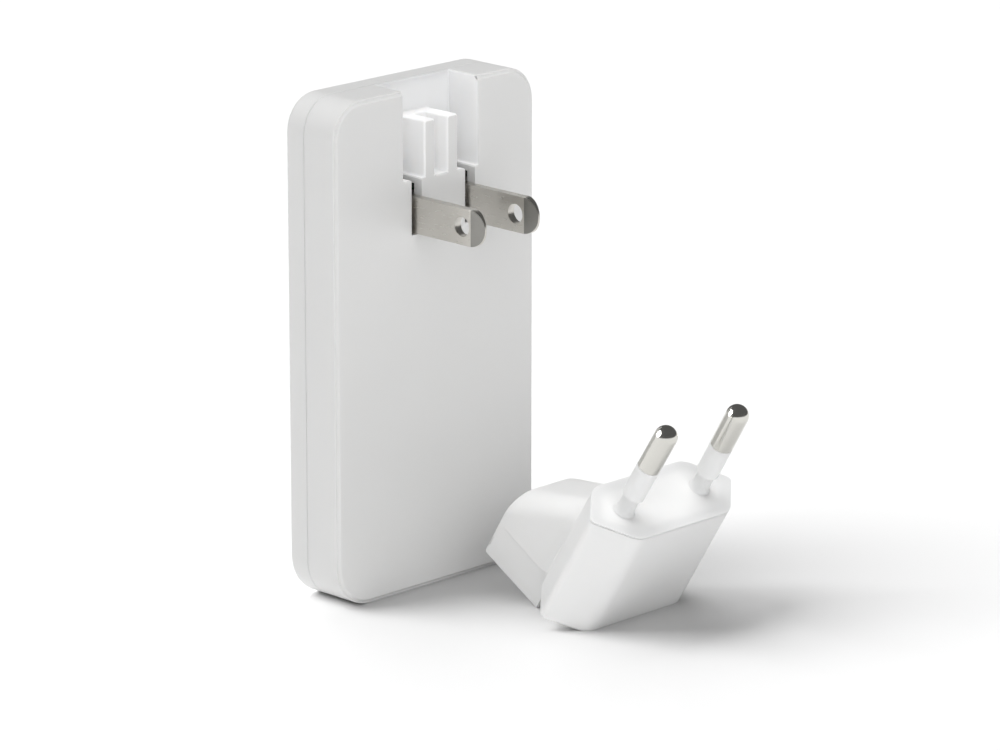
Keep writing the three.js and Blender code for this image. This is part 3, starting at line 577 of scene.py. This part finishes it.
def make_rear_shell():
    rim = SEAM - SEAM_HALF_GAP
    shell = loft("rear", [
        body_layer(WALL, FACE + FACE_WALL),
        body_layer(WALL, rim),
        body_layer(SEAM_CHAMFER, rim),
        body_layer(0.0, rim - SEAM_CHAMFER),
        body_layer(0.0, FACE + EDGE_STEP + EDGE_STEP_ROUND),
        body_layer(EDGE_STEP_ROUND, FACE + EDGE_STEP),
        body_layer(EDGE_STEP, FACE + EDGE_STEP),
        body_layer(EDGE_STEP + FACE_CHAMFER, FACE + EDGE_STEP_ROUND),
        body_layer(EDGE_STEP + FACE_CHAMFER + 0.1, FACE),
    ])
    left = NOTCH_CENTRE - NOTCH_HALF
    right = NOTCH_CENTRE + NOTCH_HALF
    casing = block(
        left - NOTCH_WALL, right + NOTCH_WALL,
        FACE + WALL / 2, FACE + NOTCH_DEPTH + NOTCH_BACK_WALL,
        NOTCH_FLOOR - NOTCH_WALL, HEIGHT - WALL / 2,
    )
    notch = block(left, right, FACE - 2, FACE + NOTCH_DEPTH, NOTCH_FLOOR, HEIGHT + 2)
    key = block(
        NOTCH_CENTRE - KEY_HALF, NOTCH_CENTRE + KEY_HALF,
        FACE - 3, FACE + NOTCH_DEPTH + 1, NOTCH_FLOOR - 1, KEY_TOP,
    )
    groove = block(
        NOTCH_CENTRE - GROOVE_HALF, NOTCH_CENTRE + GROOVE_HALF,
        FACE - 2, FACE + GROOVE_DEPTH, NOTCH_FLOOR, KEY_TOP + 1,
    )
    tool = join(cut(notch, key), groove)
    for node in ("blade_left", "blade_right"):
        low, high = (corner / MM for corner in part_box(node))
        middle = (low.x + high.x) / 2 + SLOT_SHIFT
        slot_low = HINGE.z - BLADE_HEIGHT / 2 - FIT_GAP
        slot = block(middle - SLOT_HALF, middle + SLOT_HALF, FACE - 2, FACE + NOTCH_DEPTH,
                     slot_low, NOTCH_FLOOR + 1)
        tool = join(tool, slot)
    join(shell, casing)
    cut(shell, tool, usb_tool())
    tidy(shell)

    def width_of(middle):
        """How much to round an edge: only those of the notch and of the key block in it."""
        near = 0.01
        if abs(middle.y - FACE) > NOTCH_DEPTH + near:
            return 0
        if not left - near < middle.x < right + near or middle.z <= NOTCH_FLOOR - near:
            return 0
        in_key = abs(middle.x - NOTCH_CENTRE) < KEY_HALF + near and middle.z < KEY_TOP + near
        return KEY_ROUND if in_key else NOTCH_ROUND

    round_edges(shell, width_of)
    settle(shell)
    # the notch's walls take a lighter copy of the white: painted glow that stands in for light shining
    # through their thin walls
    shell.data.materials.append(WHITE)
    shell.data.materials.append(NOTCH_PAINTED_GLOW)
    near = 0.02
    for polygon in shell.data.polygons:
        middle = polygon.center / MM
        across = left - near < middle.x < right + near
        inside = FACE + near < middle.y < FACE + NOTCH_DEPTH + near
        if across and inside and NOTCH_FLOOR - near < middle.z < HEIGHT - near:
            polygon.material_index = 1
    return shell


def make_front_shell():
    rim = SEAM + SEAM_HALF_GAP
    layers = [
        body_layer(WALL, BACK - WALL),
        body_layer(WALL, rim),
        body_layer(SEAM_CHAMFER, rim),
        body_layer(0.0, rim + SEAM_CHAMFER),
    ]
    for step in range(9):
        angle = math.pi / 2 * step / 8
        inset = FRONT_ROUND * (1 - math.cos(angle))
        layers.append(body_layer(inset, BACK - FRONT_ROUND + FRONT_ROUND * math.sin(angle)))
    return settle(loft("front", layers))


# ------------------------------------------------------------------ folding blades
def make_blade(node):
    low, high = (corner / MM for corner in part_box(node))
    middle = (low.x + high.x) / 2
    half = BLADE_HEIGHT / 2
    reach = HINGE.y - low.y
    outline = []
    for centre, first in ((HINGE.y, -90), (HINGE.y - (reach - half), 90)):
        for step in range(33):
            angle = math.radians(first + 180 * step / 32)
            outline.append((centre + half * math.cos(angle), HINGE.z + half * math.sin(angle)))
    sides = (middle - BLADE_THICKNESS / 2, middle + BLADE_THICKNESS / 2)
    blade = loft("blade", [[(x, y, z) for y, z in outline] for x in sides])
    for y, radius in ((FACE - BLADE_HOLE_REACH, BLADE_HOLE_RADIUS), (HINGE.y, BLADE_EYE_RADIUS)):
        hole = spin("hole", [(0, -3), (radius, -3), (radius, 3), (0, 3)], 48)
        place = Matrix.Translation((middle, y, HINGE.z))
        hole.data.transform(place @ Matrix.Rotation(math.pi / 2, 4, "Y"))
        cut(blade, hole)
    start = low.y + BLADE_BEVEL_LENGTH
    end = low.y - 1
    slope = BLADE_BEVEL_DEPTH / BLADE_BEVEL_LENGTH
    for face in (-1, 1):
        surface = middle + face * BLADE_THICKNESS / 2
        wedge = [
            (surface, start), (surface + face, start), (surface + face, end),
            (surface - face * slope * (start - end), end),
        ]
        cut(blade, loft("wedge", [[(x, y, z) for x, y in wedge] for z in (HINGE.z - 5, HINGE.z + 5)]))
    tidy(blade)
    round_edges(blade, lambda middle: BLADE_EDGE_ROUND, 3, 20)
    settle(blade)
    # the bevels are ground, so they are duller than the plated faces; their darker colour is a painted
    # reflection of darker surroundings
    blade.data.materials.append(NICKEL_BLADE)
    blade.data.materials.append(NICKEL_GROUND_PAINTED_REFLECTION)
    for polygon in blade.data.polygons:
        flat = abs(polygon.normal.x) > 0.9
        if flat and polygon.normal.y < -0.1 and polygon.center.y / MM < start:
            polygon.material_index = 1
    return blade


# ------------------------------------------------------------------ Europlug head
def head_outline(inset):
    """The block's hexagonal outline in the head's own x and y."""
    slope = math.hypot(HEAD_TIP_INSET, HEAD_DEEP)
    deep = HEAD_DEEP - inset
    tip = HEAD_TIP - inset * slope / HEAD_DEEP
    flat = tip - HEAD_TIP_INSET * deep / HEAD_DEEP
    blunt = max(BLUNT_RADIUS - inset, 0.3)
    sharp = max(TIP_RADIUS - inset, 0.3)
    return arc_outline([
        (-flat, -deep, blunt), (flat, -deep, blunt), (tip, 0, sharp),
        (flat, deep, blunt), (-flat, deep, blunt), (-tip, 0, sharp),
    ])


def head_layer(inset, z):
    return [(x, y, z) for x, y in head_outline(inset)]


def hood_layer(y, low_half, high_half, low, top, low_round, high_round):
    """The outline of the hood or tongue at y, in x and z, which may narrow towards its top."""
    outline = arc_outline([
        (-low_half, low, low_round), (low_half, low, low_round),
        (high_half, top, high_round), (-high_half, top, high_round),
    ], 14)
    return [(x, y, z) for x, z in outline]


def hood_roof(y):
    """The height of the hood's sloping roof at y."""
    slope = (HOOD_FAR_TOP - HOOD_NEAR_TOP) / (TONGUE_REACH - HEAD_DEEP)
    return -HOOD_FAR_TOP + slope * (TONGUE_REACH - y)


def make_hood():
    """The sloping hood: wide and high where it grows out of the block, low at its far end."""
    flare_end = HEAD_DEEP + FLARE_LENGTH
    round_start = TONGUE_REACH - HOOD_END_ROUND
    stations = [HEAD_DEEP - HOOD_OVERLAP, HEAD_DEEP]
    stations += [HEAD_DEEP + FLARE_LENGTH * step / 12 for step in range(1, 13)]
    stations += [flare_end + (round_start - flare_end) * step / 10 for step in range(1, 11)]
    layers = []
    for y in stations:
        near = min(1.0, (TONGUE_REACH - y) / (TONGUE_REACH - HEAD_DEEP))
        along = min(1.0, max(0.0, (y - HEAD_DEEP) / FLARE_LENGTH))
        flare = FLARE_WIDTH * (1 - math.sqrt(1 - (1 - along) ** 2))
        low_half = TONGUE_HALF + HOOD_FLANK_FLARE * near + flare
        high_half = TONGUE_HALF - HOOD_SHOULDER_INSET * near + flare
        low = -HEAD_LENGTH + FLARE_LIFT * (1 - along) ** 2
        top = hood_roof(y) + FLARE_RISE * flare
        layers.append(hood_layer(y, low_half, high_half, low, top, HOOD_LOW_ROUND, HOOD_ROUND))
    for step in range(1, 7):
        angle = math.pi / 2 * step / 6
        inset = HOOD_END_ROUND * (1 - math.cos(angle))
        y = round_start + HOOD_END_ROUND * math.sin(angle)
        half = TONGUE_HALF - inset
        top = hood_roof(y) - inset
        layers.append(hood_layer(y, half, half, -HEAD_LENGTH, top, HOOD_LOW_ROUND, HOOD_ROUND - inset))
    return loft("hood", layers)


def make_tongue():
    """The tongue that goes into the charger's notch, with its far edges rounded."""
    top = -HEAD_LENGTH + TONGUE_OVERLAP
    stations = [(HEAD_DEEP, 0.0)]
    stations += [(TONGUE_REACH - back, inset) for back, inset in TONGUE_END]
    layers = []
    for y, inset in stations:
        half = TONGUE_HALF - inset
        layers.append(hood_layer(y, half, half, -TONGUE_TIP + inset * 0.4, top, 0.4, 0.3))
    return loft("tongue", layers)


def make_head_shell():
    top = -PLATE_RIM - PLATE_GAP
    layers = []
    for step in range(9):
        angle = math.pi / 2 * (1 - step / 8)
        layers.append(head_layer(
            FOOT_ROUND * (1 - math.cos(angle)), -HEAD_LENGTH + FOOT_ROUND * (1 - math.sin(angle))))
    layers += [head_layer(0.0, top - 0.06), head_layer(0.06, top)]
    shell = loft("head", layers)
    join(shell, make_hood(), make_tongue())
    hollow = loft("hollow", [
        head_layer(HEAD_WALL, -HEAD_LENGTH + HEAD_WALL), head_layer(HEAD_WALL, 1),
    ])
    pocket = block(-POCKET_HALF, POCKET_HALF, HEAD_DEEP - 0.2, POCKET_REACH,
                   -TONGUE_TIP - 1, -HEAD_LENGTH + FIT_GAP)
    rib_half = GROOVE_HALF - FIT_GAP
    rib = block(-rib_half, rib_half, HEAD_DEEP + 1, POCKET_REACH + 1,
                -HEAD_LENGTH - GROOVE_DEPTH + 2 * FIT_GAP, 0)
    cut(pocket, rib)
    cut(shell, hollow, pocket)
    for node in ("blade_left", "blade_right"):
        low, high = (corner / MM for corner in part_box(node))
        middle = (low.x + high.x) / 2 - NOTCH_CENTRE
        tall = BLADE_HEIGHT / 2 + FIT_GAP
        cut(shell, block(middle - SLOT_HALF, middle + SLOT_HALF, -tall, tall,
                         -HEAD_LENGTH - 1, -HEAD_LENGTH + 2 * HEAD_WALL))
    cut(shell, block(-TONGUE_HALF - 1, -TONGUE_HALF + SLIT_DEPTH, *SLIT_Y, *SLIT_Z))
    # the front foot is flat where the leaning head rests on the table
    below_floor = block(-60, 60, -120, 60, -60, 0)
    below_floor.data.transform(HEAD_PLACE.inverted())
    cut(shell, below_floor)
    tidy(shell, angle=0.2)
    return settle(shell, HEAD_PLACE)


def make_pin_plate():
    """The lid that the pins stand in, with a step that drops inside the shell's wall."""
    plate = loft("plate", [
        head_layer(0.02, -PLATE_RIM), head_layer(0.0, -PLATE_RIM + 0.03), head_layer(0.0, -0.14),
        head_layer(0.03, -0.06), head_layer(0.14, 0.0),
    ])
    inset = HEAD_WALL + FIT_GAP
    step = loft("step", [head_layer(inset, -PLATE_STEP), head_layer(inset, -0.1)])
    join(plate, step)
    radius = NECK_RADIUS + 0.05
    for side in (-1, 1):
        hole = spin("hole", [(0, -4), (radius, -4), (radius, 2), (0, 2)], 48)
        hole.data.transform(pin_matrix(side))
        cut(plate, hole)
    tidy(plate)
    return settle(plate, HEAD_PLACE)


def pin_matrix(side):
    """Stands a pin on the plate; the two lean inwards a little."""
    lean = math.atan((PIN_BASE - PIN_TIP_SPACING) / 2 / PIN_LENGTH)
    return Matrix.Translation((side * PIN_BASE / 2, 0, 0)) @ Matrix.Rotation(-side * lean, 4, "Y")


def make_pin(side):
    shoulder = PIN_LENGTH - PIN_METAL
    profile = [
        (0, -PIN_ROOT), (PIN_CORE_RADIUS, -PIN_ROOT), (PIN_CORE_RADIUS, shoulder),
        (PIN_RADIUS - PIN_EDGE_ROUND, shoulder), (PIN_RADIUS, shoulder + PIN_EDGE_ROUND),
    ]
    for step in range(17):
        angle = math.pi / 2 * step / 16
        radius = 0 if step == 16 else PIN_RADIUS * math.cos(angle)
        profile.append((radius, PIN_LENGTH - PIN_RADIUS + PIN_RADIUS * math.sin(angle)))
    return settle(spin("pin", profile), HEAD_PLACE @ pin_matrix(side), 50)


def make_sleeve(side, sides=64):
    """An insulating tube: a flared foot, a thinner neck, then a full-width part with a rim."""
    top = PIN_LENGTH - PIN_METAL - SLEEVE_GAP
    profile = [(SLEEVE_BORE_RADIUS, -SLEEVE_ROOT), (NECK_RADIUS, -SLEEVE_ROOT), (NECK_RADIUS, -0.05)]
    for step in range(9):
        angle = math.pi / 2 * step / 8
        radius = NECK_RADIUS + SLEEVE_FOOT_FLARE * (1 - math.sin(angle))
        profile.append((radius, SLEEVE_FOOT_HEIGHT * (1 - math.cos(angle)) + SLEEVE_GAP))
    profile += [
        (NECK_RADIUS, SLEEVE_RIM - 0.02),
        (PIN_RADIUS - SLEEVE_RIM_SLOPE, SLEEVE_RIM), (PIN_RADIUS, SLEEVE_RIM + SLEEVE_RIM_SLOPE),
        (PIN_RADIUS, top - 0.1), (PIN_RADIUS - 0.08, top), (SLEEVE_BORE_RADIUS, top),
    ]
    bm = bmesh.new()
    rings = []
    for radius, z in profile:
        turns = [2 * math.pi * index / sides for index in range(sides)]
        rings.append([bm.verts.new((radius * math.cos(t), radius * math.sin(t), z)) for t in turns])
    for low, high in zip(rings, rings[1:] + rings[:1]):
        for index in range(sides):
            after = (index + 1) % sides
            bm.faces.new((low[index], low[after], high[after], high[index]))
    return settle(new_object("sleeve", bm), HEAD_PLACE @ pin_matrix(side), 40)


# ------------------------------------------------------------------ USB-C socket
def make_usb_shell():
    """A drawn steel shell, closed at its inner end, with a rounded lip."""
    profile = (
        (0.0, USB_HIGH.z), (0.0, USB_LOW.z + 0.1), (0.03, USB_LOW.z + 0.03), (0.1, USB_LOW.z),
        (USB_WALL - 0.08, USB_LOW.z), (USB_WALL, USB_LOW.z + 0.12), (USB_WALL, USB_HIGH.z - USB_WALL),
    )
    layers = [[(x, y, z) for x, y in usb_outline(inset, 12)] for inset, z in profile]
    return settle(loft("usb", layers), angle=40)


def make_usb_tongue():
    """The thin blade inside the socket, with a chamfered tip and a thicker root."""
    low, high = (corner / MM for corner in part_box("usb_c_tongue"))
    root = high.z - USB_TONGUE_ROOT
    layers = []
    for z, inset in ((low.z, 0.16), (low.z + 0.05, 0.06), (low.z + 0.16, 0.0), (root, 0.0)):
        half = USB_TONGUE_HALF_WIDTH - inset
        deep = USB_TONGUE_HALF_DEPTH - inset
        outline = arc_outline([
            (USB_CENTRE.x - half, USB_CENTRE.y - deep, USB_TONGUE_ROUND),
            (USB_CENTRE.x + half, USB_CENTRE.y - deep, USB_TONGUE_ROUND),
            (USB_CENTRE.x + half, USB_CENTRE.y + deep, USB_TONGUE_ROUND),
            (USB_CENTRE.x - half, USB_CENTRE.y + deep, USB_TONGUE_ROUND),
        ], 4)
        layers.append([(x, y, z) for x, y in outline])
    tongue = loft("tongue", layers)
    base = block(low.x, high.x, low.y, high.y, root, high.z)
    return settle(tidy(join(tongue, base)))


def make_usb_contacts():
    """Twelve gold pads on each side of the tongue; power and ground pads reach further out."""
    low, high = (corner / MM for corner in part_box("usb_c_tongue"))
    end = high.z - USB_TONGUE_ROOT - 0.1
    bm = bmesh.new()
    for face in (-1, 1):
        surface = USB_CENTRE.y + face * (USB_TONGUE_HALF_DEPTH + USB_CONTACT_PROUD)
        for index in range(USB_CONTACTS):
            x = USB_CENTRE.x + (index - (USB_CONTACTS - 1) / 2) * USB_CONTACT_PITCH
            start = low.z + (USB_LONG_START if index in USB_LONG_CONTACTS else USB_SHORT_START)
            size = Vector((USB_CONTACT_WIDTH, USB_CONTACT_DEPTH, end - start))
            centre = Vector((x, surface, (start + end) / 2))
            for vert in bmesh.ops.create_cube(bm, size=1.0)["verts"]:
                vert.co = centre + vert.co * size
    return settle(new_object("contacts", bm))


# ------------------------------------------------------------------ pieces
publish(make_usb_shell(), "usb_c_socket_shell", "charger", "socket_steel", SOCKET_STEEL, "usb_c_shell")
publish(make_usb_tongue(), "usb_c_socket_tongue", "charger", "chip_plastic", CHIP, "usb_c_tongue")
publish(make_usb_contacts(), "usb_c_contact_pads", "charger", "contact_brass", GOLD)
publish(make_rear_shell(), "rear_shell_casing", "charger", "white_plastic", WHITE, "rear_shell")
publish(make_front_shell(), "front_shell_casing", "charger", "white_plastic", WHITE, "front_shell")
for label in ("left", "right"):
    publish(make_blade(f"blade_{label}"), f"plug_blade_{label}", "folding_plug", "nickel_plate",
            NICKEL_BLADE, f"blade_{label}")
publish(make_head_shell(), "head_casing", "eu_head", "white_plastic", HEAD_WHITE, "eu_head_shell")
publish(make_pin_plate(), "head_pin_plate", "eu_head", "white_plastic", HEAD_WHITE, "eu_pin_plate")
for label, side in (("left", -1), ("right", 1)):
    publish(make_pin(side), f"head_pin_{label}", "eu_head", "nickel_plate", NICKEL_PIN, f"eu_pin_{label}")
    publish(make_sleeve(side), f"head_sleeve_{label}", "eu_head", "white_plastic", SLEEVE_WHITE,
            f"eu_sleeve_{label}")


# ------------------------------------------------------------------ stage, light and camera
WORLD_LIGHT = 0.12
FLOOR_SUNS = (
    ("floor_back_left", 0.85, (-0.64, 0.63, 0.95), 40),
    ("floor_overhead", 0.12, (0.0, 0.0, 1.0), 60),
    ("floor_behind", 0.42, (0.3, 0.8, 0.8), 60),
)
PRODUCT_SUNS = (
    ("product_overhead", 0.72, (0.0, 0.0, 1.0), 60),
    ("product_front", 0.39, (-0.5, -0.85, 0.4), 60),
    ("product_back_left", 0.15, (-0.64, 0.63, 0.6), 50),
)
SOFTBOX_POWER = 30.0
SOFTBOX_SIZE = 1.1
SOFTBOX_DISTANCE = 1.2
SOFTBOX_DIRECTION = (-0.64, 0.63, 0.44)
CAMERA_AZIMUTH = -45.14
CAMERA_ELEVATION = 15.665
CAMERA_AIM = (0.00598, -0.01537, 0.03799)
CAMERA_DISTANCE = 0.917
CAMERA_LENS = 193.4


def make_floor():
    material, nodes, links, shader = material_base("floor")
    slow = noise(nodes, links, 4.0)
    tint(nodes, links, slow.outputs["Fac"], (0.93, 0.93, 0.93), (0.94, 0.94, 0.94), shader)
    shader.inputs["Roughness"].default_value = 0.8
    shader.inputs["Specular IOR Level"].default_value = 0.1
    bpy.ops.mesh.primitive_plane_add(size=8, location=(0, 0, 0))
    floor = bpy.context.object
    floor.name = "floor"
    floor.data.materials.append(material)
    return floor


def add_sun(name, weight, direction, spread, receivers):
    """A soft sun that lights only the objects in the receivers collection."""
    sun = bpy.data.lights.new(name, "SUN")
    sun.energy = math.pi * weight
    sun.angle = math.radians(spread)
    holder = bpy.data.objects.new(name, sun)
    holder.rotation_euler = Vector(direction).to_track_quat("Z", "Y").to_euler()
    holder.visible_glossy = False
    SCENE.collection.objects.link(holder)
    holder.light_linking.receiver_collection = receivers


def make_light(product, ground, bare_metal):
    """A dim world, suns for the floor and the product, and a softbox that the metal mirrors."""
    world = bpy.data.worlds.new("studio")
    SCENE.world = world
    world.use_nodes = True
    background = world.node_tree.nodes["Background"]
    background.inputs["Color"].default_value = (1, 1, 1, 1)
    background.inputs["Strength"].default_value = WORLD_LIGHT
    for name, weight, direction, spread in FLOOR_SUNS:
        add_sun(name, weight, direction, spread, ground)
    for name, weight, direction, spread in PRODUCT_SUNS:
        add_sun(name, weight, direction, spread, product)
    box = bpy.data.lights.new("softbox", "AREA")
    box.shape = "DISK"
    box.size = SOFTBOX_SIZE
    box.energy = SOFTBOX_POWER
    holder = bpy.data.objects.new("softbox", box)
    direction = Vector(SOFTBOX_DIRECTION).normalized()
    holder.location = direction * SOFTBOX_DISTANCE
    holder.rotation_euler = direction.to_track_quat("Z", "Y").to_euler()
    holder.visible_diffuse = False
    SCENE.collection.objects.link(holder)
    holder.light_linking.receiver_collection = bare_metal


def make_camera():
    azimuth = math.radians(CAMERA_AZIMUTH)
    elevation = math.radians(CAMERA_ELEVATION)
    back = Vector((
        math.sin(azimuth) * math.cos(elevation),
        -math.cos(azimuth) * math.cos(elevation),
        math.sin(elevation),
    ))
    data = bpy.data.cameras.new("camera")
    data.lens = CAMERA_LENS
    data.sensor_width = 36
    camera = bpy.data.objects.new("camera", data)
    camera.location = Vector(CAMERA_AIM) + back * CAMERA_DISTANCE
    camera.rotation_euler = back.to_track_quat("Z", "Y").to_euler()
    data.clip_start = 0.05
    data.clip_end = 50
    SCENE.collection.objects.link(camera)
    SCENE.camera = camera


PRODUCT = bpy.data.collections.new("product")
for obj in bpy.data.objects:
    if obj.type == "MESH":
        PRODUCT.objects.link(obj)
GROUND = bpy.data.collections.new("ground")
GROUND.objects.link(make_floor())
BARE_METAL = bpy.data.collections.new("bare_metal")
for name in ("plug_blade_left", "plug_blade_right", "head_pin_left", "head_pin_right"):
    BARE_METAL.objects.link(bpy.data.objects[name])
make_light(PRODUCT, GROUND, BARE_METAL)
make_camera()
SCENE.view_settings.view_transform = "Standard"
SCENE.view_settings.look = "None"
